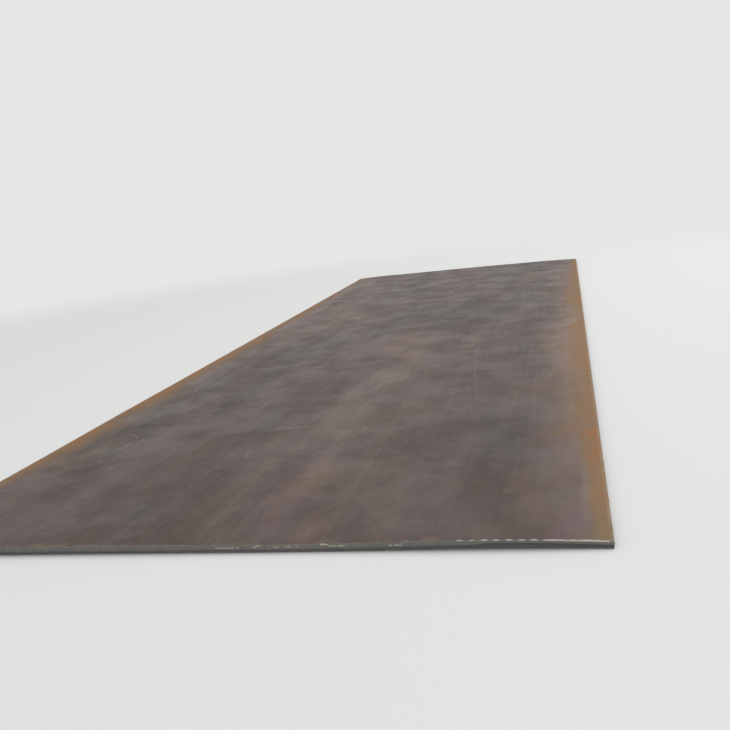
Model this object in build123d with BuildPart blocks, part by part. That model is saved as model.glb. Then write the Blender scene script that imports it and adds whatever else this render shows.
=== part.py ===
from build123d import *
from math import asin, cos, degrees, sin
import os

# A hot-rolled steel plate as a stockyard sells it: one piece, cut to size on a guillotine shear.
# X runs across the width, Y along the length, Z up. Millimetres. The lowest points are at Z = 0.
LENGTH = 6000.0
WIDTH = 2000.0
THICKNESS = 20.0

# The rolled plate is not dead flat: both long margins curve down.
MARGIN = 300.0
DROOP = 7.0

# The cut edge from the top down: an arris pulled over by the blade, a smooth cut band,
# then the broken part, which leans inwards to the underside.
ROLL_WIDTH = 6.0
ROLL_DEPTH = 4.0
ROLL_BULGE = 0.9
BAND_BOTTOM = 8.0
SETBACK = 1.5

# Everything below follows from the sizes above.
radius = (MARGIN**2 + DROOP**2) / (2 * DROOP)
turn = asin(MARGIN / (radius - ROLL_DEPTH))
flat = WIDTH - 2 * MARGIN
lowest_turn = turn - SETBACK / (radius - THICKNESS)
rise = (radius - THICKNESS) * (1 - cos(lowest_turn))
top = rise + THICKNESS
centre_z = top - radius
chord = (ROLL_WIDTH**2 + ROLL_DEPTH**2) ** 0.5
bulge_in = ROLL_WIDTH / 2 - ROLL_BULGE * ROLL_DEPTH / chord
bulge_down = ROLL_DEPTH / 2 - ROLL_BULGE * ROLL_WIDTH / chord
half = LENGTH / 2
clear = 3.0  # how far a cutting tool stands proud of the plate

# The plate cut along its length, with the sheared edge at both ends.
with BuildSketch(Plane.YZ) as long_section:
    with BuildLine():
        Line((-half + ROLL_WIDTH, top), (half - ROLL_WIDTH, top))
        ThreePointArc(
            (half - ROLL_WIDTH, top),
            (half - bulge_in, top - bulge_down),
            (half, top - ROLL_DEPTH),
        )
        Polyline(
            (half, top - ROLL_DEPTH),
            (half, top - BAND_BOTTOM),
            (half - SETBACK, rise),
            (-half + SETBACK, rise),
            (-half, top - BAND_BOTTOM),
            (-half, top - ROLL_DEPTH),
        )
        ThreePointArc(
            (-half, top - ROLL_DEPTH),
            (-half + bulge_in, top - bulge_down),
            (-half + ROLL_WIDTH, top),
        )
    make_face()

with BuildPart() as plate:
    # the flat middle
    extrude(long_section.sketch, amount=flat / 2, both=True)

    # margins: the same section turned down about an axis far below each side
    for side in (1, -1):
        revolve(
            long_section.sketch.moved(Location((side * flat / 2, 0, 0))),
            axis=Axis((side * flat / 2, 0, centre_z), (0, side, 0)),
            revolution_arc=degrees(turn),
        )

    # long sides: cut the same sheared edge, square to the curved margin
    for side in (1, -1):
        edge_plane = Plane(
            origin=(
                side * (flat / 2 + radius * sin(turn)),
                -LENGTH,
                centre_z + radius * cos(turn),
            ),
            x_dir=(-side * cos(turn), 0, sin(turn)),
            z_dir=(0, side, 0),
        )
        with BuildSketch(edge_plane):
            with BuildLine():
                Polyline(
                    (SETBACK, -THICKNESS - clear),
                    (-clear, -THICKNESS - clear),
                    (-clear, clear),
                    (ROLL_WIDTH, clear),
                    (ROLL_WIDTH, 0),
                )
                ThreePointArc(
                    (ROLL_WIDTH, 0),
                    (bulge_in, -bulge_down),
                    (0, -ROLL_DEPTH),
                )
                Polyline(
                    (0, -ROLL_DEPTH),
                    (0, -BAND_BOTTOM),
                    (SETBACK, -THICKNESS),
                    (SETBACK, -THICKNESS - clear),
                )
            make_face()
        extrude(amount=side * 2 * LENGTH, mode=Mode.SUBTRACT)

plate.part.label = "plate"
box = plate.part.bounding_box()
print("size", box.size, "min", box.min, "volume", plate.part.volume)
print("solids", len(plate.part.solids()), "valid", plate.part.is_valid)

os.makedirs("parts", exist_ok=True)
export_step(plate.part, "parts/plate.step")
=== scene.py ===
import bmesh
import bpy
from math import asin, cos, radians, sin
from mathutils import Matrix, Vector


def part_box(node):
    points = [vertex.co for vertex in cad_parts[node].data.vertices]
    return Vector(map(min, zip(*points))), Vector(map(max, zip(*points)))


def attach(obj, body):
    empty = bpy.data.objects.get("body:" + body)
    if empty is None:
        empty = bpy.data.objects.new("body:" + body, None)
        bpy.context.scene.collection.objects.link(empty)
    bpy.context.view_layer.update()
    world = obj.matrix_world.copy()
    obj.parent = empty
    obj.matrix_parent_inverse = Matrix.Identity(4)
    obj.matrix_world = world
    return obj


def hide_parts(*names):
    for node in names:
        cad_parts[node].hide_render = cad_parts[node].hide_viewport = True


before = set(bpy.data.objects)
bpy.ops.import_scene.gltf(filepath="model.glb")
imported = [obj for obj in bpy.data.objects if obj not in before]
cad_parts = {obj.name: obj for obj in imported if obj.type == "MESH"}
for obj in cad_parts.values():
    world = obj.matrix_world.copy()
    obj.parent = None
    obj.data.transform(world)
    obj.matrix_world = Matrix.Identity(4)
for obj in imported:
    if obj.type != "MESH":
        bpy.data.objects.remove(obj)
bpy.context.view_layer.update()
plateLow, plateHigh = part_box("plate")


def srgb(red, green, blue):
    # a colour as the eye reads it, 0 to 255, made linear for the shaders
    linear = []
    for level in (red, green, blue):
        part = level / 255
        linear.append(part / 12.92 if part <= 0.04045 else ((part + 0.055) / 1.055) ** 2.4)
    return (*linear, 1.0)


def deselectAll():
    if bpy.context.object and bpy.context.object.mode != "OBJECT":
        bpy.ops.object.mode_set(mode="OBJECT")
    bpy.ops.object.select_all(action="DESELECT")


# the camera, placed from where the plate's edges run together in the picture
camera = {
    "imageSize": 730,                # pixels, both ways
    "focal": 845.0,                  # in those pixels
    "sidesMeet": (563.3, 164.9),     # the long sides run together here
    "endsMeet": (-3007.0, 592.0),    # and the short ends here, far to the left
    "leftOfCorner": 0.0565,          # the eye, from the near right corner of the top face
    "inFront": 1.829,
    "above": 0.824,
    "sensor": 36.0,                  # millimetres
    "seesTo": 200.0,                 # metres
}


def buildCamera(c):
    middle = c["imageSize"] / 2
    along = Vector((c["sidesMeet"][0] - middle, c["sidesMeet"][1] - middle, c["focal"])).normalized()
    across = -Vector((c["endsMeet"][0] - middle, c["endsMeet"][1] - middle, c["focal"])).normalized()
    up = across.cross(along).normalized()
    across = along.cross(up)
    # rows are the plate's axes as the camera sees them: right, down, forward
    seen = Matrix((across, along, up))
    right, down, forward = seen.col[0], seen.col[1], seen.col[2]
    turn = Matrix((right, -down, -forward)).transposed()
    data = bpy.data.cameras.new("photoCamera")
    data.sensor_width = c["sensor"]
    data.lens = c["focal"] / c["imageSize"] * c["sensor"]
    data.clip_end = c["seesTo"]
    eye = bpy.data.objects.new("photoCamera", data)
    bpy.context.scene.collection.objects.link(eye)
    corner = Vector((plateHigh.x, plateLow.y, plateHigh.z))
    place = corner + Vector((-c["leftOfCorner"], -c["inFront"], c["above"]))
    eye.matrix_world = Matrix.Translation(place) @ turn.to_4x4()
    bpy.context.scene.camera = eye
    print("camera", [round(v, 3) for v in place], "lens", round(data.lens, 2))


# pale floor and soft light
studio = {
    "floorSize": 80.0,
    "floorColour": srgb(229, 229, 228),
    "floorRoughness": 0.9,
    "floorSpecular": 0.2,
    "background": srgb(230, 230, 229),
    "fadeFrom": 3.3,           # metres from the plate's middle where the floor starts to fade
    "fadeTo": 6.5,
    "skyColour": (1.0, 1.0, 1.0, 1.0),
    "skyLight": 0.62,
    "softboxSize": (14.0, 14.0),
    "softboxPower": 900.0,
    "softboxPlace": (6.5, 2.0, 10.5),
    "fillPower": 50.0,
    "fillSize": (6.0, 3.0),
    "fillPlace": (-1.0, -9.0, 2.6),
    "aim": (0.3, -1.0, 0.0),   # both lamps point here
}


def buildFloor(s):
    deselectAll()
    bpy.ops.mesh.primitive_plane_add(size=s["floorSize"], location=(0, 0, 0))
    floor = bpy.context.object
    floor.name = "studio_floor"
    paint = bpy.data.materials.new("studioFloor")
    paint.use_nodes = True
    nodes, links = paint.node_tree.nodes, paint.node_tree.links
    shader = nodes["Principled BSDF"]
    shader.inputs["Base Color"].default_value = s["floorColour"]
    shader.inputs["Roughness"].default_value = s["floorRoughness"]
    shader.inputs["Specular IOR Level"].default_value = s["floorSpecular"]
    glow = nodes.new("ShaderNodeEmission")
    glow.inputs["Color"].default_value = s["background"]
    coords = nodes.new("ShaderNodeTexCoord")
    far = nodes.new("ShaderNodeVectorMath")
    far.operation = "LENGTH"
    fade = nodes.new("ShaderNodeMapRange")
    fade.interpolation_type = "SMOOTHSTEP"
    fade.inputs["From Min"].default_value = s["fadeFrom"]
    fade.inputs["From Max"].default_value = s["fadeTo"]
    mix = nodes.new("ShaderNodeMixShader")
    links.new(coords.outputs["Object"], far.inputs[0])
    links.new(far.outputs["Value"], fade.inputs["Value"])
    links.new(fade.outputs["Result"], mix.inputs[0])
    links.new(shader.outputs[0], mix.inputs[1])
    links.new(glow.outputs[0], mix.inputs[2])
    links.new(mix.outputs[0], nodes["Material Output"].inputs["Surface"])
    floor.data.materials.append(paint)
    print("floor ready")


def buildSky(s):
    bpy.context.scene.view_settings.view_transform = "Standard"
    world = bpy.data.worlds.new("studioSky")
    world.use_nodes = True
    bpy.context.scene.world = world
    nodes, links = world.node_tree.nodes, world.node_tree.links
    sky = nodes["Background"]
    sky.inputs["Color"].default_value = s["skyColour"]
    sky.inputs["Strength"].default_value = s["skyLight"]
    backdrop = nodes.new("ShaderNodeBackground")
    backdrop.inputs["Color"].default_value = s["background"]
    # the camera and reflections see the pale background, the light itself stays as it is
    rays = nodes.new("ShaderNodeLightPath")
    seen = rays.outputs["Is Camera Ray"]
    for ray in ("Is Glossy Ray", "Is Transmission Ray"):
        either = nodes.new("ShaderNodeMath")
        either.operation = "MAXIMUM"
        links.new(seen, either.inputs[0])
        links.new(rays.outputs[ray], either.inputs[1])
        seen = either.outputs[0]
    mix = nodes.new("ShaderNodeMixShader")
    links.new(seen, mix.inputs[0])
    links.new(sky.outputs[0], mix.inputs[1])
    links.new(backdrop.outputs[0], mix.inputs[2])
    links.new(mix.outputs[0], nodes["World Output"].inputs["Surface"])
    print("sky ready")


def buildLamps(s):
    for name in ("softbox", "fill"):
        lamp = bpy.data.lights.new(name, "AREA")
        lamp.shape = "RECTANGLE"
        lamp.size, lamp.size_y = s[name + "Size"]
        lamp.energy = s[name + "Power"]
        box = bpy.data.objects.new(name, lamp)
        bpy.context.scene.collection.objects.link(box)
        box.location = s[name + "Place"]
        aim = Vector(s["aim"]) - box.location
        box.rotation_euler = aim.to_track_quat("-Z", "Y").to_euler()
    print("lamps ready")


# the plate, one piece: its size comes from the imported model, the rest is in metres
plate = {
    "thickness": 0.020,
    "margin": 0.300,         # strip along each long side that curves down
    "droop": 0.007,
    "flatColumns": 14,
    "marginColumns": 6,
    "lengthRows": 60,
    "edgeRows": 20,          # rows down the cut edge
    "rollWidth": 0.006,      # arris pulled over by the shear blade
    "rollDepth": 0.004,
    "rollRows": 5,
    "bandBottom": 0.008,     # the smooth cut band ends here, below the top face
    "setback": 0.0015,       # lean of the broken part under it
    "burr": 0.0005,
    "knockWidth": 0.0066,    # a knock takes hold of the arris this far in from the cut,
    "knockDepth": 0.0048,    # and this far down
    "grainWidth": 0.0072,    # the roughness of the cut goes this far in
    "smoothAngle": 35,       # degrees
}


def plateMeasures(p):
    width = plateHigh.x - plateLow.x
    length = plateHigh.y - plateLow.y
    radius = (p["margin"] ** 2 + p["droop"] ** 2) / (2 * p["droop"])
    turn = asin(p["margin"] / (radius - p["rollDepth"]))
    top = plateHigh.z
    return {
        "width": width, "length": length, "top": top, "radius": radius, "turn": turn,
        "flat": width - 2 * p["margin"], "centreZ": top - radius,
        "middle": top - p["thickness"] / 2,
    }


def depthBelowTop(place, m):
    # how far a point lies under the top face, measured square to it
    aside = abs(place.x) - m["flat"] / 2
    if aside <= 0:
        return m["top"] - place.z
    return m["radius"] - Vector((aside, place.z - m["centreZ"])).length


def pickEdges(body, test):
    mesh = bmesh.from_edit_mesh(body.data)
    bpy.ops.mesh.select_mode(type="EDGE")
    bpy.ops.mesh.select_all(action="DESELECT")
    for edge in mesh.edges:
        if test(edge.verts[1].co - edge.verts[0].co):
            edge.select_set(True)
    bmesh.update_edit_mesh(body.data)


def pickFaces(body, test):
    mesh = bmesh.from_edit_mesh(body.data)
    bpy.ops.mesh.select_mode(type="FACE")
    bpy.ops.mesh.select_all(action="DESELECT")
    mesh.normal_update()
    for face in mesh.faces:
        if test(face.normal):
            face.select_set(True)
    bmesh.update_edit_mesh(body.data)


def cutBlank(p, m):
    # flat middle first, then each margin is spun down from its side face
    deselectAll()
    centre = (0, 0, m["middle"])
    bpy.ops.mesh.primitive_cube_add(size=1, location=centre)
    body = bpy.context.object
    body.name = "steel_plate"
    bpy.ops.object.transform_apply(location=True, rotation=True, scale=True)
    bpy.ops.object.mode_set(mode="EDIT")
    bpy.ops.mesh.select_all(action="SELECT")
    bpy.ops.transform.resize(value=(m["flat"], m["length"], p["thickness"]), center_override=centre)
    for side in (1, -1):
        pickFaces(body, lambda normal: normal.x * side > 0.9)
        bpy.ops.mesh.spin(
            steps=p["marginColumns"], angle=-m["turn"] * side,
            center=(m["flat"] / 2 * side, 0, m["centreZ"]), axis=(0, 1, 0),
        )
    bpy.ops.mesh.select_all(action="SELECT")
    bpy.ops.mesh.normals_make_consistent(inside=False)
    # even cells over the faces, fine rows down the cut edges
    pickEdges(body, lambda run: abs(run.y) > m["length"] / 2)
    bpy.ops.mesh.subdivide(number_cuts=p["lengthRows"] - 1)
    pickEdges(body, lambda run: abs(run.x) > m["flat"] / 2)
    bpy.ops.mesh.subdivide(number_cuts=p["flatColumns"] - 1)
    pickFaces(body, lambda normal: abs(normal.z) < 0.5)
    bpy.ops.mesh.subdivide(number_cuts=p["edgeRows"] - 1)
    return body


def edgeProfile(p, row):
    # how far in from the edge, and how far down, each row of the cut edge lies
    step = p["thickness"] / p["edgeRows"]
    if row < p["rollRows"]:
        swing = radians(90) * row / (p["rollRows"] - 1)
        return p["rollWidth"] * (1 - sin(swing)), p["rollDepth"] * (1 - cos(swing))
    down = row * step
    if down <= p["bandBottom"]:
        return 0.0, down
    lean = (down - p["bandBottom"]) / (p["thickness"] - p["bandBottom"])
    inset = p["setback"] * lean
    if row == p["edgeRows"] - 1:
        inset -= p["burr"]
    return inset, down


def shapeEdge(body, p, m):
    mesh = bmesh.from_edit_mesh(body.data)
    bpy.ops.mesh.select_mode(type="VERT")
    step = p["thickness"] / p["edgeRows"]
    rows = [[] for row in range(p["edgeRows"] + 1)]
    slack = step / 10    # for rounding
    onWall = m["length"] / 2 - slack
    wallTurn = m["turn"] - slack / m["radius"]
    for vert in mesh.verts:
        aside = abs(vert.co.x) - m["flat"] / 2
        atSide = aside > 0 and asin(aside / (m["radius"] - depthBelowTop(vert.co, m))) > wallTurn
        if abs(vert.co.y) > onWall or atSide:
            rows[round(depthBelowTop(vert.co, m) / step)].append(vert)
    for row, verts in enumerate(rows):
        inset, down = edgeProfile(p, row)
        bpy.ops.mesh.select_all(action="DESELECT")
        for vert in verts:
            vert.select_set(True)
        shrink = (1 - 2 * inset / m["width"], 1 - 2 * inset / m["length"], 1)
        bpy.ops.transform.resize(value=shrink, center_override=(0, 0, 0))
        bpy.ops.transform.translate(value=(0, 0, row * step - down))
    bmesh.update_edit_mesh(body.data)
    print("edge shaped,", len(rows), "rows of", len(rows[0]), "points")


# slow waves that rolling and handling leave, up and down, by place, reach and lift
waves = [
    {"place": (0.74, -3.0), "reach": 0.34, "lift": 0.0026},
    {"place": (0.22, -3.0), "reach": 0.40, "lift": -0.0028},
    {"place": (-0.45, -3.0), "reach": 0.45, "lift": 0.0012},
    {"place": (-1.0, -1.6), "reach": 0.60, "lift": 0.0010},
    {"place": (1.0, 0.4), "reach": 0.70, "lift": 0.0012},
    {"place": (0.1, 3.0), "reach": 0.55, "lift": 0.0020},
]
waveGrip = 0.02      # the points this near the place take the whole lift


def addWaves(body):
    for wave in waves:
        mesh = bmesh.from_edit_mesh(body.data)
        bpy.ops.mesh.select_all(action="DESELECT")
        spot = Vector(wave["place"])
        for vert in mesh.verts:
            if (vert.co.xy - spot).length < waveGrip:
                vert.select_set(True)
        bpy.ops.transform.translate(
            value=(0, 0, wave["lift"]), use_proportional_edit=True,
            proportional_edit_falloff="SMOOTH", proportional_size=wave["reach"],
        )
        bmesh.update_edit_mesh(body.data)


# knocks in the arris of the two sheared ends: place along X, which end, reach and how deep
knocks = [
    {"x": 0.528, "end": -1, "reach": 0.013, "push": (0.0, 0.0016, -0.0026)},
    {"x": -0.310, "end": -1, "reach": 0.020, "push": (0.0, 0.0014, -0.0018)},
    {"x": 0.790, "end": 1, "reach": 0.022, "push": (0.0, -0.0020, -0.0022)},
    {"x": -0.640, "end": 1, "reach": 0.015, "push": (0.0, -0.0014, -0.0020)},
]
knockGrip = 0.003    # the points this near along X take the whole push


def knockArris(body, p, m):
    for knock in knocks:
        mesh = bmesh.from_edit_mesh(body.data)
        bpy.ops.mesh.select_all(action="DESELECT")
        wall = knock["end"] * m["length"] / 2
        for vert in mesh.verts:
            onWall = abs(vert.co.y - wall) < p["knockWidth"]
            onArris = vert.co.z > m["top"] - p["knockDepth"]
            if onWall and onArris and abs(vert.co.x - knock["x"]) < knockGrip:
                vert.select_set(True)
        bpy.ops.transform.translate(
            value=knock["push"], use_proportional_edit=True, proportional_edit_falloff="SHARP",
            proportional_size=knock["reach"],
        )
        bmesh.update_edit_mesh(body.data)


def fanBorder(body):
    # the cells beside the cut edges have many corners, so each becomes a fan from its centre
    mesh = bmesh.from_edit_mesh(body.data)
    bpy.ops.mesh.select_mode(type="FACE")
    bpy.ops.mesh.select_all(action="DESELECT")
    for face in mesh.faces:
        if len(face.verts) > 4:
            face.select_set(True)
    bmesh.update_edit_mesh(body.data)
    bpy.ops.mesh.poke()
    bpy.ops.mesh.select_mode(type="VERT")


# roughness that the shear leaves: from and to what depth, how coarse, how strong, which way it goes
cutGrains = [
    {"name": "arris", "from": -0.0010, "to": 0.0064, "size": 0.018, "strength": 0.0010, "way": "NORMAL"},
    {"name": "torn", "from": 0.008, "to": 0.0185, "size": 0.005, "strength": 0.0012, "way": "NORMAL"},
    {"name": "bandLine", "from": 0.004, "to": 0.0112, "size": 0.040, "strength": 0.0016, "way": "Z"},
]
grainDepth = 3       # levels of detail
grainContrast = 1.6


def roughen(body, grain, verts):
    group = body.vertex_groups.new(name=grain["name"])
    group.add(verts, 1.0, "REPLACE")
    clouds = bpy.data.textures.new(grain["name"], "CLOUDS")
    clouds.noise_scale = grain["size"]
    clouds.noise_depth = grainDepth
    clouds.contrast = grainContrast
    push = body.modifiers.new(grain["name"], "DISPLACE")
    push.texture = clouds
    push.texture_coords = "LOCAL"
    push.vertex_group = grain["name"]
    push.direction = grain["way"]
    push.strength = grain["strength"]
    push.mid_level = 0.5
    bpy.ops.object.modifier_apply(modifier=grain["name"])


def buildPlate(p):
    m = plateMeasures(p)
    body = cutBlank(p, m)
    shapeEdge(body, p, m)
    # the cut edge's points are sorted by depth before the waves move them
    bpy.ops.object.mode_set(mode="OBJECT")
    grainVerts = [[] for grain in cutGrains]
    for vert in body.data.vertices:
        inside = min(m["width"] / 2 - abs(vert.co.x), m["length"] / 2 - abs(vert.co.y))
        depth = depthBelowTop(vert.co, m)
        for grain, verts in zip(cutGrains, grainVerts):
            if inside < p["grainWidth"] and grain["from"] < depth < grain["to"]:
                verts.append(vert.index)
    bpy.ops.object.mode_set(mode="EDIT")
    knockArris(body, p, m)
    addWaves(body)
    fanBorder(body)
    bpy.ops.object.mode_set(mode="OBJECT")
    for grain, verts in zip(cutGrains, grainVerts):
        roughen(body, grain, verts)
    body.vertex_groups.clear()
    deselectAll()
    body.select_set(True)
    bpy.ops.object.shade_smooth_by_angle(angle=radians(p["smoothAngle"]))
    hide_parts("plate")
    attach(body, "root")
    print("plate", len(body.data.polygons), "faces")
    return body


# the finish: hot-rolled scale, rust along the margins, a sheared edge; colours as the eye sees them
finish = {
    "scaleDark": srgb(76, 61, 54),
    "scaleMid": srgb(95, 77, 69),
    "scaleLight": srgb(115, 97, 85),
    "scaleMauve": srgb(101, 81, 80),
    "lost": srgb(62, 58, 59),          # where a chip of scale has come off
    "chipRim": srgb(116, 84, 62),
    "tide": srgb(136, 123, 111),       # dried edge of a rain puddle
    "dust": srgb(140, 124, 106),
    "bloom": srgb(122, 92, 69),
    "marginTan": srgb(132, 111, 82),
    "ochre": srgb(143, 111, 76),
    "rust": srgb(152, 95, 50),
    "rustDeep": srgb(108, 62, 38),
    "arris": srgb(184, 177, 167),
    "sideRoll": srgb(146, 131, 106),
    "mitre": srgb(148, 144, 130),
    "rollFace": srgb(112, 107, 100),
    "cutBand": srgb(109, 106, 101),
    # torn face: rough, dull grey, and painted darker as well for the shade on that face, which leans back
    # under the cut band
    "torn": srgb(76, 76, 78),
    "burrLine": srgb(112, 111, 108),
    "scratch": srgb(146, 135, 124),
}


class Nodes:
    # short ways to add the nodes that the finish is made of
    def __init__(self, material):
        material.use_nodes = True
        self.nodes = material.node_tree.nodes
        self.links = material.node_tree.links
        self.shader = self.nodes["Principled BSDF"]
        self.place = self.nodes.new("ShaderNodeTexCoord").outputs["Object"]

    def put(self, value, socket):
        if isinstance(value, bpy.types.NodeSocket):
            self.links.new(value, socket)
        else:
            socket.default_value = value

    def math(self, operation, first, second=0.0, third=0.0):
        node = self.nodes.new("ShaderNodeMath")
        node.operation = operation
        for value, socket in zip((first, second, third), node.inputs):
            self.put(value, socket)
        return node.outputs[0]

    def plus(self, first, second):
        return self.math("ADD", first, second)

    def minus(self, first, second):
        return self.math("SUBTRACT", first, second)

    def times(self, first, *others):
        for other in others:
            first = self.math("MULTIPLY", first, other)
        return first

    def scaled(self, value, gain, base):
        return self.math("MULTIPLY_ADD", value, gain, base)

    def swing(self, value, reach):
        # a pattern made to go as far below 0 as above it
        return self.scaled(value, reach, -reach / 2)

    def size(self, value):
        # whatever its sign
        return self.math("ABSOLUTE", value)

    def larger(self, first, second):
        return self.math("MAXIMUM", first, second)

    def stretched(self, stretch, turn):
        node = self.nodes.new("ShaderNodeMapping")
        node.inputs["Scale"].default_value = stretch
        node.inputs["Rotation"].default_value = (0, 0, turn)
        self.links.new(self.place, node.inputs["Vector"])
        return node.outputs[0]

    def noise(self, scale, detail, rough, stretch=None, turn=0.0, twist=0.0):
        node = self.nodes.new("ShaderNodeTexNoise")
        node.inputs["Scale"].default_value = scale
        node.inputs["Detail"].default_value = detail
        node.inputs["Roughness"].default_value = rough
        node.inputs["Distortion"].default_value = twist
        self.links.new(self.stretched(stretch, turn) if stretch else self.place, node.inputs["Vector"])
        return node.outputs[0]

    def pattern(self, look):
        # the noise that a line of a look describes
        stretch = (1.0, look["drawn"], 1.0) if "drawn" in look else None
        return self.noise(*look["noise"], stretch=stretch, twist=look.get("twist", 0.0))

    def shown(self, look):
        return self.rise(self.pattern(look), *look["shows"])

    def cells(self, scale):
        node = self.nodes.new("ShaderNodeTexVoronoi")
        node.inputs["Scale"].default_value = scale
        self.links.new(self.place, node.inputs["Vector"])
        return node.outputs["Distance"]

    def rise(self, value, low, high, most=1.0):
        # 0 below low, most above high, smooth between; low may be above high
        node = self.nodes.new("ShaderNodeMapRange")
        node.interpolation_type = "SMOOTHSTEP"
        self.put(value, node.inputs["Value"])
        if low > high:
            node.inputs["From Min"].default_value, node.inputs["From Max"].default_value = high, low
            node.inputs["To Min"].default_value, node.inputs["To Max"].default_value = most, 0.0
        else:
            node.inputs["From Min"].default_value, node.inputs["From Max"].default_value = low, high
            node.inputs["To Min"].default_value, node.inputs["To Max"].default_value = 0.0, most
        return node.outputs["Result"]

    def distance(self, place, spot):
        node = self.nodes.new("ShaderNodeVectorMath")
        node.operation = "DISTANCE"
        self.put(place, node.inputs[0])
        self.put(spot, node.inputs[1])
        return node.outputs["Value"]

    def mix(self, factor, first, second):
        # two colours: the first at 0, the second at 1
        node = self.nodes.new("ShaderNodeMix")
        node.data_type = "RGBA"
        self.put(factor, node.inputs["Factor"])
        self.put(first, node.inputs[6])
        self.put(second, node.inputs[7])
        return node.outputs[2]

    def blend(self, factor, first, second):
        # the same with two numbers
        node = self.nodes.new("ShaderNodeMix")
        self.put(factor, node.inputs["Factor"])
        self.put(first, node.inputs[2])
        self.put(second, node.inputs[3])
        return node.outputs[0]

    def shade(self, colour, amount):
        # darker or lighter by a factor near 1
        node = self.nodes.new("ShaderNodeVectorMath")
        node.operation = "SCALE"
        self.put(colour, node.inputs[0])
        self.put(amount, node.inputs["Scale"])
        return node.outputs[0]

    def tone(self, colour, value, gain, base):
        # shade that follows a pattern
        return self.shade(colour, self.scaled(value, gain, base))


def edgeGaps(n, m):
    # distance in from the long sides and in from the ends, depth below the waved top face, and the
    # place along the cut: both ends were cut the same way, so the far end is turned half round
    split = n.nodes.new("ShaderNodeSeparateXYZ")
    n.links.new(n.place, split.inputs[0])
    x, y, z = split.outputs
    across, along = n.size(x), n.size(y)
    outside = n.larger(n.minus(across, m["flat"] / 2), 0.0)
    fall = n.math("DIVIDE", n.times(outside, outside), 2 * m["radius"])
    depth = n.minus(n.minus(m["top"], fall), z)
    flatPlace = n.nodes.new("ShaderNodeCombineXYZ")
    n.links.new(x, flatPlace.inputs["X"])
    n.links.new(y, flatPlace.inputs["Y"])
    for wave in waves:
        away = n.distance(flatPlace.outputs[0], (*wave["place"], 0.0))
        near = n.rise(away, wave["reach"] + waveGrip, waveGrip)
        depth = n.scaled(near, wave["lift"], depth)
    return {
        "x": x, "y": y, "depth": depth,
        "side": n.minus(m["width"] / 2, across),
        "end": n.minus(m["length"] / 2, along),
        "shear": n.times(x, n.times(n.math("SIGN", y), -1.0)),
        "fromCorner": n.distance(n.place, (m["width"] / 2, -m["length"] / 2, m["top"])),
    }


# in every look below: noise is how often in a metre, detail and roughness; drawn, below 1, runs it
# out along the plate; shows is where it starts, where it is full and how strong it is then; a tone
# is how far a pattern changes the colour, and from what

# rolling streaks, coarse to fine: how often across and along a metre, and how strong
streaks = [
    {"across": 9.0, "along": 0.22, "strength": 0.22},
    {"across": 42.0, "along": 0.7, "strength": 0.22},
    {"across": 170.0, "along": 2.5, "strength": 0.17},
]

# bands that the water sprays leave down the whole length, crisp on one border
bands = [
    {"across": 2.6, "along": 0.02, "from": 0.500, "to": 0.512, "tone": -0.075},
    {"across": 6.4, "along": 0.05, "from": 0.530, "to": 0.540, "tone": 0.060},
    {"across": 15.0, "along": 0.10, "from": 0.560, "to": 0.575, "tone": -0.060},
]

# mill scale: dark and pale patches, tight islands, chips and specks
scaleLook = {
    "patches": {"noise": (1.5, 8, 0.62), "drawn": 0.26, "twist": 0.4},
    "midShows": (0.36, 0.50),
    "lightShows": (0.51, 0.62),
    "mauve": {"noise": (2.3, 8, 0.65), "drawn": 0.34, "shows": (0.48, 0.56, 0.8)},
    "streakNoise": (1.0, 5, 0.6),
    "bandNoise": (1.0, 1, 0.5),
    "marginTone": 0.96,
    # painted shade: how much darker the middle is than the margins
    "paintedShadeInMiddle": (0.03, 0.25, 0.36),      # metres in from the long sides, and by how much
    "islands": {"noise": (5.5, 12, 0.72), "drawn": 0.30, "shows": (0.495, 0.53)},
    "islandTone": (-0.11, 1.05),
    "mottle": {"noise": (30.0, 6, 0.7), "drawn": 0.4},
    "mottleTone": (0.50, 0.75),
    "chips": {"noise": (14.0, 12, 0.75), "drawn": 0.7},
    "rimShows": (0.615, 0.63, 0.5),
    "lostShows": (0.635, 0.645),
    "lostCover": 0.75,
    "grain": {"noise": (240.0, 5, 0.72)},
    "grainTone": (0.70, 0.65),
    "specks": {"noise": (95.0, 7, 0.74)},
    "pitShows": (0.60, 0.66, 0.24),
    "speckShows": (0.375, 0.33, 0.18),
}


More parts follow.
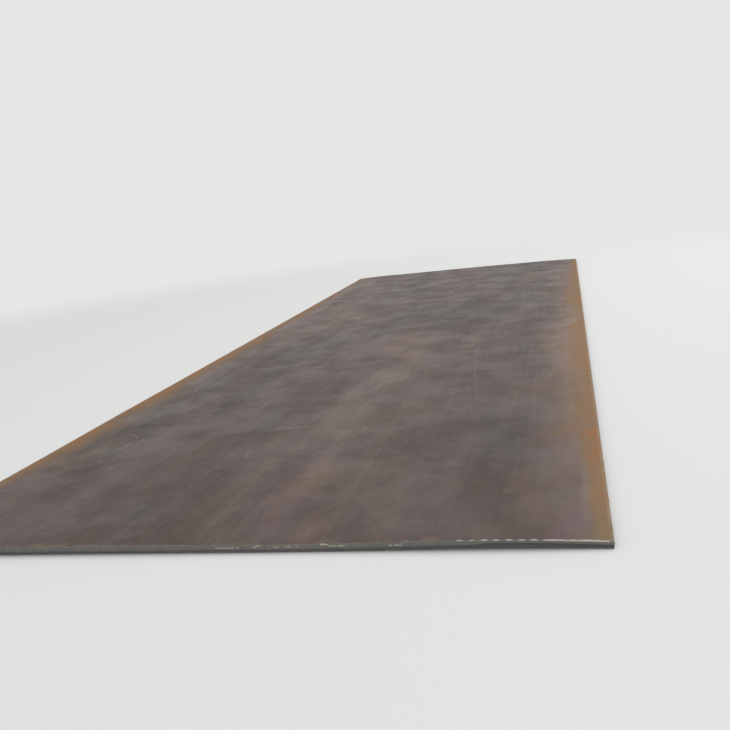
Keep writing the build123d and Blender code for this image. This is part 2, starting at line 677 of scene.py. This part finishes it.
def scaleColour(n, f, look, side):
    patches = n.pattern(look["patches"])
    colour = n.mix(n.rise(patches, *look["midShows"]), f["scaleDark"], f["scaleMid"])
    colour = n.mix(n.rise(patches, *look["lightShows"]), colour, f["scaleLight"])
    colour = n.mix(n.shown(look["mauve"]), colour, f["scaleMauve"])
    for streak in streaks:
        lines = n.noise(*look["streakNoise"], stretch=(streak["across"], streak["along"], 1.0))
        colour = n.tone(colour, lines, streak["strength"] * 2, 1 - streak["strength"])
    for band in bands:
        strip = n.noise(*look["bandNoise"], stretch=(band["across"], band["along"], 1.0))
        colour = n.tone(colour, n.rise(strip, band["from"], band["to"]), band["tone"], 1.0)
    # painted shade: the middle of the top face is darker than the long margins, standing in for the shade
    # of plates stacked above; the margins stay paler
    colour = n.shade(colour, n.minus(look["marginTone"], n.rise(side, *look["paintedShadeInMiddle"])))
    # tight scale with crisp borders, then fine mottle
    colour = n.tone(colour, n.shown(look["islands"]), *look["islandTone"])
    colour = n.tone(colour, n.pattern(look["mottle"]), *look["mottleTone"])
    # chips where the scale has come off, with a rusty rim
    chips = n.pattern(look["chips"])
    lost = n.rise(chips, *look["lostShows"])
    colour = n.mix(n.rise(chips, *look["rimShows"]), colour, f["chipRim"])
    colour = n.mix(n.times(lost, look["lostCover"]), colour, f["lost"])
    grain = n.pattern(look["grain"])
    colour = n.tone(colour, grain, *look["grainTone"])
    # pin-sized pits and pale specks
    specks = n.pattern(look["specks"])
    colour = n.shade(colour, n.minus(1.0, n.rise(specks, *look["pitShows"])))
    colour = n.shade(colour, n.plus(1.0, n.rise(specks, *look["speckShows"])))
    return colour, lost, grain


# single long scratches from handling: from where to where, half width, how strong
drags = [
    {"from": (0.58, -1.75), "to": (0.44, -0.20), "half": 0.0018, "strength": 0.40},
    {"from": (-0.10, -2.30), "to": (0.24, -0.30), "half": 0.0020, "strength": 0.42},
    {"from": (0.03, -2.05), "to": (0.34, -0.45), "half": 0.0013, "strength": 0.30},
    {"from": (-0.78, -1.90), "to": (-0.52, 1.40), "half": 0.0022, "strength": 0.45},
    {"from": (0.40, 0.30), "to": (0.78, 2.40), "half": 0.0020, "strength": 0.45},
    {"from": (-0.30, 2.80), "to": (0.34, 1.50), "half": 0.0018, "strength": 0.40},
    {"from": (0.92, -0.90), "to": (0.20, -0.35), "half": 0.0016, "strength": 0.35},
]

# scratches: turned off the rolling direction, thin across, long along, and where they gather
scratches = [
    {"turn": 3.0, "across": 300.0, "along": 2.2, "from": 0.735, "gather": 1.9, "strength": 0.75},
    {"turn": -9.0, "across": 240.0, "along": 3.0, "from": 0.750, "gather": 1.4, "strength": 0.6},
    {"turn": 71.0, "across": 200.0, "along": 4.0, "from": 0.755, "gather": 1.1, "strength": 0.6},
]

# puddle edges, dust in the low places, scratches
weatherLook = {
    "pool": {"noise": (1.6, 2, 0.5), "twist": 0.5},
    "tideLevel": 0.57,
    "tideShows": (0.0080, 0.0010, 0.30),     # by how near the pool comes to that level
    "tideBreaks": {"noise": (6.0, 5, 0.65), "shows": (0.42, 0.56)},
    "tideFromEnd": (0.45, 0.80),             # metres
    "dustShows": (0.567, 0.60, 0.09),
    "smudges": {"noise": (12.0, 5, 0.6), "shows": (0.60, 0.70)},
    "smudgePlaces": {"noise": (2.0, 2, 0.5), "shows": (0.52, 0.60)},
    "smudgeCover": 0.17,
    "scratchNoise": (1.0, 2, 0.5),
    "scratchSoft": 0.03,
    "gatherNoise": (3, 0.6),
    "gatherShows": (0.48, 0.58),
    "dragWobble": {"noise": (0.5, 0, 0.5)},
    "dragWander": 0.08,                      # metres, from one side to the other
    "dragBreaks": {"noise": (14.0, 5, 0.7), "shows": (0.36, 0.54)},
    "dragBorder": (1.5, 0.5),                # half widths from its middle
    "dragStart": 0.15,                       # metres over which it begins
    "dragTail": 0.6,                         # share of its length from which it dies away
}


def dragLine(n, look, drag, gaps, wobble):
    # how far along the scratch, and how far off it
    start, stop = Vector(drag["from"]), Vector(drag["to"])
    reach = (stop - start).length
    run = (stop - start) / reach
    along = n.scaled(gaps["x"], run.x, n.scaled(gaps["y"], run.y, -start.dot(run)))
    off = n.scaled(gaps["y"], -run.x, start.y * run.x - start.x * run.y)
    off = n.plus(n.scaled(gaps["x"], run.y, off), wobble)
    outer, inner = [drag["half"] * share for share in look["dragBorder"]]
    mark = n.rise(n.size(off), outer, inner, drag["strength"])
    mark = n.times(mark, n.rise(along, 0.0, look["dragStart"]))
    return n.times(mark, n.rise(along, reach, reach * look["dragTail"]))


def weather(n, f, look, gaps, colour):
    pool = n.pattern(look["pool"])
    tide = n.rise(n.size(n.minus(pool, look["tideLevel"])), *look["tideShows"])
    tide = n.times(tide, n.shown(look["tideBreaks"]), n.rise(gaps["end"], *look["tideFromEnd"]))
    colour = n.mix(tide, colour, f["tide"])
    colour = n.mix(n.rise(pool, *look["dustShows"]), colour, f["dust"])
    smudge = n.times(n.shown(look["smudges"]), n.shown(look["smudgePlaces"]), look["smudgeCover"])
    colour = n.mix(smudge, colour, f["dust"])
    for mark in scratches:
        stretch = (mark["across"], mark["along"], 1.0)
        lines = n.noise(*look["scratchNoise"], stretch=stretch, turn=radians(mark["turn"]))
        lines = n.rise(lines, mark["from"], mark["from"] + look["scratchSoft"])
        there = n.noise(mark["gather"], *look["gatherNoise"])
        there = n.rise(there, *look["gatherShows"], mark["strength"])
        colour = n.mix(n.times(lines, there), colour, f["scratch"])
    wobble = n.swing(n.pattern(look["dragWobble"]), look["dragWander"])
    breaks = n.shown(look["dragBreaks"])
    for drag in drags:
        mark = n.times(dragLine(n, look, drag, gaps, wobble), breaks)
        colour = n.mix(mark, colour, f["scratch"])
    return colour


# rust on the sheared ends: places along the cut, half width
endPatches = [
    {"x": 0.582, "half": 0.026},
    {"x": -0.480, "half": 0.045},
]

# rust, with gaps from the border in metres: where each kind starts and where it is full
rustLook = {
    "bloom": {"noise": (1.5, 10, 0.66), "drawn": 0.5, "shows": (0.53, 0.66, 0.42)},
    "wander": {"noise": (1.7, 5, 0.6)},
    "wanderReach": 0.26,
    "ragged": {"noise": (9.0, 9, 0.70)},
    "tearReach": 0.16,
    "atEnd": {"wander": 0.35, "tear": 0.4},  # shares of those two that the ends take
    "atCorner": 0.25,                        # and that the corners take
    "grit": {"noise": (30.0, 9, 0.78)},
    "gritReach": 1.6,
    "patchy": {"noise": (3.4, 4, 0.6), "shows": (0.50, 0.62, 0.8)},
    "patchRagged": 0.05,
    "patchBorder": 1.4,                      # times the half width
    "patchCover": 0.9,
    "noneNear": (0.74, 0.66),                # place along the cut past which the end stays clean
    "endBroad": (0.0288, 0.0, 0.7),
    "endDeep": (0.0096, -0.03, 0.6),
    "sideBroad": (0.209, -0.03),
    "sideDeep": (0.099, -0.08),
    "cornerBroad": (0.080, 0.015),
    "cornerFade": (0.30, 1.00),              # metres in from the ends
    "grainShows": (0.30, 0.85),
    "deepShows": (0.42, 0.80),
    "ochreFrom": (0.05, 0.35),               # metres in from the ends, nearer it is tan
    "broadCover": 0.44,
    "grainCover": 0.32,
    "deepFrom": (0.12, 0.70),
    "deepCover": (0.25, 0.75),               # near the ends, and away from them
    "spotScale": 20.0,
    "spotShows": (0.11, 0.05),
    "spotPlaces": {"noise": (2.6, 3, 0.5), "shows": (0.52, 0.60, 0.8)},
}


def rustMask(n, look, gaps):
    ragged = n.pattern(look["ragged"])
    reach = n.swing(n.pattern(look["wander"]), look["wanderReach"])
    tear = n.swing(ragged, look["tearReach"])
    sideGap = n.plus(n.plus(gaps["side"], reach), tear)
    endGap = n.plus(gaps["end"], n.times(reach, look["atEnd"]["wander"]))
    endGap = n.plus(endGap, n.times(tear, look["atEnd"]["tear"]))
    patchy = n.shown(look["patchy"])
    for patch in endPatches:
        off = n.plus(n.size(n.minus(gaps["shear"], patch["x"])), -look["patchRagged"] / 2)
        off = n.scaled(ragged, look["patchRagged"], off)
        here = n.rise(off, patch["half"] * look["patchBorder"], 0.0, look["patchCover"])
        patchy = n.larger(patchy, here)
    patchy = n.times(patchy, n.rise(gaps["shear"], *look["noneNear"]))
    endBroad = n.times(n.rise(endGap, *look["endBroad"]), patchy)
    endDeep = n.times(n.rise(endGap, *look["endDeep"]), patchy)
    cornerGap = n.plus(gaps["side"], n.times(n.plus(reach, tear), look["atCorner"]))
    cornerBroad = n.rise(cornerGap, *look["cornerBroad"])
    sideBroad = n.rise(sideGap, *look["sideBroad"])
    sideBroad = n.blend(n.rise(gaps["end"], *look["cornerFade"]), cornerBroad, sideBroad)
    broad = n.larger(sideBroad, endBroad)
    deep = n.larger(n.rise(sideGap, *look["sideDeep"]), endDeep)
    # the grit breaks both up into grains
    broken = n.swing(n.pattern(look["grit"]), look["gritReach"])
    grains = n.rise(n.plus(broad, broken), *look["grainShows"])
    deep = n.rise(n.plus(deep, broken), *look["deepShows"])
    return broad, grains, deep


def rustColour(n, f, look, gaps, colour):
    # a thin bloom here and there, then the margins, tan near the cut ends
    colour = n.mix(n.shown(look["bloom"]), colour, f["bloom"])
    broad, grains, deep = rustMask(n, look, gaps)
    margin = n.mix(n.rise(gaps["end"], *look["ochreFrom"]), f["marginTan"], f["ochre"])
    cover = n.scaled(broad, look["broadCover"], n.times(grains, look["grainCover"]))
    colour = n.mix(cover, colour, margin)
    cover = n.times(deep, n.blend(n.rise(gaps["end"], *look["deepFrom"]), *look["deepCover"]))
    colour = n.mix(cover, colour, f["rust"])
    spots = n.times(n.rise(n.cells(look["spotScale"]), *look["spotShows"]), n.shown(look["spotPlaces"]))
    return n.mix(spots, colour, f["rustDeep"]), grains


# where the shear was blunt it bared the whole rolled arris, and the cut band is deeper there
bluntCut = {
    "roll": (0.660, 0.610),                  # places along the cut
    "band": (0.730, 0.670),
    "bandDrop": 0.0045,                      # how much deeper, in metres
    "farDrop": (0.36, -0.30, 0.0018),        # still deeper, farther along
    "rollShows": (-0.0004, 0.0028),
}

# the cut edge, by metres of depth below the top face
cutLook = {
    "neatNear": (0.46, 0.12),                # metres from the near right corner
    "wobble": {"noise": (38.0, 7, 0.72)},
    "wobbleReach": (0.0044, 0.0014),         # away from that corner, and at it
    "sideOrEnd": (-0.0006, 0.0006),
    "reachIn": (0.0066, 0.0056),             # how far in from the border its colours go
    "rollShows": (0.0008, 0.0028),
    "bandShows": (0.0038, 0.0046),
    "tornShows": (0.0094, 0.0112),
    "burrShows": (0.0174, 0.0190, 0.7),
    "combed": {"noise": (1.0, 6, 0.7), "stretch": (260.0, 260.0, 24.0)},
    "pitted": {"noise": (170.0, 6, 0.75)},
    "combTone": (1.1, 0.5),                  # on the smooth band, and on the torn face
    "pitTone": (0.25, 0.95),
    "baseTone": 0.35,
    "rust": {"noise": (11.0, 8, 0.7), "shows": (0.54, 0.62)},
    "rustPlaces": {"noise": (0.9, 2, 0.5), "shows": (0.46, 0.58, 0.6)},
    "rustFrom": (0.8, 1.6),                  # metres from the near right corner
}


def cutEdge(n, f, look, blunt, gaps, colour):
    nearEdge = n.math("MINIMUM", gaps["side"], gaps["end"])
    onSide = n.rise(n.minus(gaps["end"], gaps["side"]), *look["sideOrEnd"])
    close = n.rise(gaps["fromCorner"], *look["neatNear"])
    wobble = n.minus(n.pattern(look["wobble"]), 0.5)
    level = n.scaled(wobble, n.blend(close, *look["wobbleReach"]), gaps["depth"])
    onEdge = n.rise(nearEdge, *look["reachIn"])
    onEnd = n.minus(1.0, onSide)
    bluntRoll = n.times(n.rise(gaps["shear"], *blunt["roll"]), onEnd)
    bluntBand = n.times(n.rise(gaps["shear"], *blunt["band"]), onEnd)
    bareRoll = n.blend(bluntRoll, n.rise(level, *look["rollShows"]), n.rise(level, *blunt["rollShows"]))
    cutFace = n.times(onEdge, bareRoll)
    edgeColour = n.mix(n.rise(level, *look["bandShows"]), f["rollFace"], f["cutBand"])
    deeper = n.plus(blunt["bandDrop"], n.rise(gaps["shear"], *blunt["farDrop"]))
    torn = n.rise(n.minus(level, n.times(bluntBand, deeper)), *look["tornShows"])
    # the torn face's colour is its dull grey plus painted shade
    edgeColour = n.mix(torn, edgeColour, f["torn"])
    edgeColour = n.mix(n.rise(level, *look["burrShows"]), edgeColour, f["burrLine"])
    # drag lines on the smooth band, a pitted face under it
    combed = n.noise(*look["combed"]["noise"], stretch=look["combed"]["stretch"])
    tone = n.scaled(combed, n.blend(torn, *look["combTone"]), look["baseTone"])
    tone = n.scaled(n.pattern(look["pitted"]), n.blend(torn, *look["pitTone"]), tone)
    edgeColour = n.shade(edgeColour, tone)
    rust = n.times(n.shown(look["rust"]), n.shown(look["rustPlaces"]))
    rust = n.times(rust, n.rise(gaps["fromCorner"], *look["rustFrom"]))
    edgeColour = n.mix(rust, edgeColour, f["rustDeep"])
    colour = n.mix(cutFace, colour, edgeColour)
    # the sides and the dashes need these too
    gaps.update(onSide=onSide, onEdge=onEdge, close=close, level=level)
    return colour, cutFace, torn


# long sides: a soft tan strip where the plate rolls over; the corner has a pale mitre
sideLook = {
    "stripIn": (0.0120, 0.0050),             # metres in from the side
    "stripDeep": (0.0062, 0.0045),           # metres below the top face
    "strip": {"noise": (22.0, 8, 0.74), "shows": (0.34, 0.60)},
    "stripCover": 0.8,
    "mitreIn": (0.010, 0.007),               # metres in from both borders
    "mitreHalf": (0.0050, 0.0012),           # metres off the mitre line
    "mitreDeep": (0.0060, 0.0050),
    "mitreCover": 0.6,
}


def longSides(n, f, look, gaps, colour):
    strip = n.times(n.rise(gaps["side"], *look["stripIn"]), n.rise(gaps["depth"], *look["stripDeep"]))
    strip = n.times(strip, n.shown(look["strip"]), gaps["onSide"], look["stripCover"])
    colour = n.mix(strip, colour, f["sideRoll"])
    turnGap = n.size(n.minus(gaps["side"], gaps["end"]))
    mitre = n.rise(n.larger(gaps["side"], gaps["end"]), *look["mitreIn"])
    mitre = n.times(n.rise(turnGap, *look["mitreHalf"]), mitre, n.rise(gaps["depth"], *look["mitreDeep"]))
    return n.mix(n.times(mitre, look["mitreCover"]), colour, f["mitre"])


# the shear leaves bright dashes on the cut at one pitch: where along the cut, how much of the
# pitch is bright (over 1 they join into one line), and how far below the top face they lie
dashRuns = [
    {"from": 0.034, "to": 0.084, "share": 1.35, "drop": 0.0095},
    {"from": 0.089, "to": 0.102, "share": 1.20, "drop": 0.0095},
    {"from": 0.125, "to": 0.143, "share": 0.90, "drop": 0.0085},
    {"from": 0.143, "to": 0.156, "share": 1.25, "drop": 0.0046},
    {"from": 0.178, "to": 0.254, "share": 0.78, "drop": 0.0080},
    {"from": 0.310, "to": 0.329, "share": 1.25, "drop": 0.0031},
    {"from": 0.329, "to": 0.372, "share": 1.15, "drop": 0.0075},
    {"from": 0.480, "to": 0.512, "share": 1.35, "drop": 0.0105},
    {"from": 0.640, "to": 0.700, "share": 0.66, "drop": 0.0034},
    {"from": 0.700, "to": 0.852, "share": 0.76, "drop": 0.0034},
    {"from": 0.852, "to": 0.930, "share": 1.45, "drop": 0.0032},
    {"from": 0.930, "to": 1.010, "share": 1.45, "drop": 0.0027},
]

# what all the dashes have in common, lengths in metres
dashLook = {
    "pitch": 0.0284,
    "first": 0.652,                          # middle of one of them
    "bare": -0.25,                           # share between the runs
    "drop": 0.0034,
    "shareNoise": {"noise": (9.0, 3, 0.6)},
    "shareReach": 0.5,
    "runBorder": 0.002,
    "dropNoise": {"noise": (13.0, 4, 0.6)},
    "dropWander": 0.0044,
    "wanderFrom": (0.64, 0.60),              # place along the cut
    "pitchNoise": {"noise": (24.0, 3, 0.6)},
    "pitchWander": 0.010,
    "nibbles": {"noise": (120.0, 6, 0.75)},
    "nibbleReach": 0.0024,
    "thick": (-0.10, 0.34, 0.0016),
    "lineBorder": (0.0006, -0.0005),
    "dashBorder": (-0.08, 0.12),
    "wear": {"noise": (210.0, 4, 0.7)},
    "neatCover": 0.12,                       # less worn at the near right corner
    "wearShows": (0.36, 0.52),
    "cornerFade": (0.006, 0.013),
    "cover": 0.9,
}


def dashPlaces(n, look, shear):
    # how bright each place of the cut is, and how far down its dashes lie
    bare = look["bare"] - look["shareReach"] / 2
    share = n.scaled(n.pattern(look["shareNoise"]), look["shareReach"], bare)
    drop = look["drop"]
    border = look["runBorder"]
    for run in dashRuns:
        there = n.rise(shear, run["from"] - border, run["from"] + border)
        there = n.times(there, n.rise(shear, run["to"] + border, run["to"] - border))
        share = n.scaled(there, run["share"] - look["bare"], share)
        if run["drop"] != look["drop"]:
            drop = n.scaled(there, run["drop"] - look["drop"], drop)
    wander = n.times(n.minus(n.pattern(look["dropNoise"]), 0.5), look["dropWander"])
    drop = n.plus(drop, n.times(wander, n.rise(shear, *look["wanderFrom"])))
    firstDash = -look["pitchWander"] / 2 - look["first"]
    wobble = n.scaled(n.pattern(look["pitchNoise"]), look["pitchWander"], firstDash)
    count = n.math("DIVIDE", n.plus(shear, wobble), look["pitch"])
    # 0 in the middle of a dash, half a pitch away at most
    off = n.math("PINGPONG", count, 0.5)
    # above 0 inside a dash, and largest in its middle
    return n.minus(n.times(share, 0.5), off), drop


def brightArris(n, f, look, gaps, colour):
    # a dash is a spindle along the cut, thickest in its middle
    inDash, drop = dashPlaces(n, look, gaps["shear"])
    nibbled = n.swing(n.pattern(look["nibbles"]), look["nibbleReach"])
    offLine = n.size(n.minus(n.plus(gaps["level"], nibbled), drop))
    thick = n.rise(inDash, *look["thick"])
    line = n.rise(n.minus(offLine, thick), *look["lineBorder"])
    worn = n.scaled(gaps["close"], look["neatCover"], n.pattern(look["wear"]))
    dashes = n.times(n.rise(inDash, *look["dashBorder"]), n.rise(worn, *look["wearShows"]))
    arris = n.times(gaps["onEdge"], line, dashes)
    arris = n.times(arris, n.rise(n.minus(gaps["side"], gaps["end"]), *look["cornerFade"]))
    return n.mix(n.times(arris, look["cover"]), colour, f["arris"]), arris


# gloss and relief
surfaceLook = {
    "specular": 0.32,
    "rough": {"noise": (4.0, 8, 0.66), "shows": (0.38, 0.62)},
    "scaleRough": (0.42, 0.56),
    "sheen": {"noise": (1.0, 5, 0.65), "stretch": (60.0, 0.8, 1.0)},
    "sheenReach": 0.16,
    "rustRough": 0.78,
    "cutRough": (0.45, 0.75),                # the smooth band, and the torn face
    "arrisRough": 0.40,
    "arrisMetal": 0.5,
    "grainHeight": 0.4,
    "lostHeight": -0.8,
    "relief": {"noise": (90.0, 6, 0.7)},
    "reliefHeight": (0.5, 3.0),              # the faces, and the cut edge
    "bumpStrength": 0.5,
    "bumpDistance": 0.0006,
}


def plateFinish(f, look, m):
    material = bpy.data.materials.new("millScale")
    n = Nodes(material)
    gaps = edgeGaps(n, m)
    colour, lost, grain = scaleColour(n, f, scaleLook, gaps["side"])
    colour = weather(n, f, weatherLook, gaps, colour)
    colour, grains = rustColour(n, f, rustLook, gaps, colour)
    colour, cutFace, torn = cutEdge(n, f, cutLook, bluntCut, gaps, colour)
    colour = longSides(n, f, sideLook, gaps, colour)
    colour, arris = brightArris(n, f, dashLook, gaps, colour)
    n.put(colour, n.shader.inputs["Base Color"])
    n.put(look["specular"], n.shader.inputs["Specular IOR Level"])

    rough = n.blend(n.shown(look["rough"]), *look["scaleRough"])
    sheen = n.noise(*look["sheen"]["noise"], stretch=look["sheen"]["stretch"])
    rough = n.scaled(sheen, look["sheenReach"], n.plus(rough, -look["sheenReach"] / 2))
    rough = n.blend(grains, rough, look["rustRough"])
    rough = n.blend(cutFace, rough, n.blend(torn, *look["cutRough"]))
    n.put(n.blend(arris, rough, look["arrisRough"]), n.shader.inputs["Roughness"])
    n.put(n.times(arris, look["arrisMetal"]), n.shader.inputs["Metallic"])

    height = n.plus(n.times(grain, look["grainHeight"]), n.times(lost, look["lostHeight"]))
    relief = n.times(n.pattern(look["relief"]), n.blend(cutFace, *look["reliefHeight"]))
    bump = n.nodes.new("ShaderNodeBump")
    bump.inputs["Strength"].default_value = look["bumpStrength"]
    bump.inputs["Distance"].default_value = look["bumpDistance"]
    n.links.new(n.plus(height, relief), bump.inputs["Height"])
    n.links.new(bump.outputs[0], n.shader.inputs["Normal"])
    print("finish", len(n.nodes), "nodes")
    return material


buildCamera(camera)
buildFloor(studio)
buildSky(studio)
buildLamps(studio)
steelPlate = buildPlate(plate)
steelPlate.data.materials.append(plateFinish(finish, surfaceLook, plateMeasures(plate)))
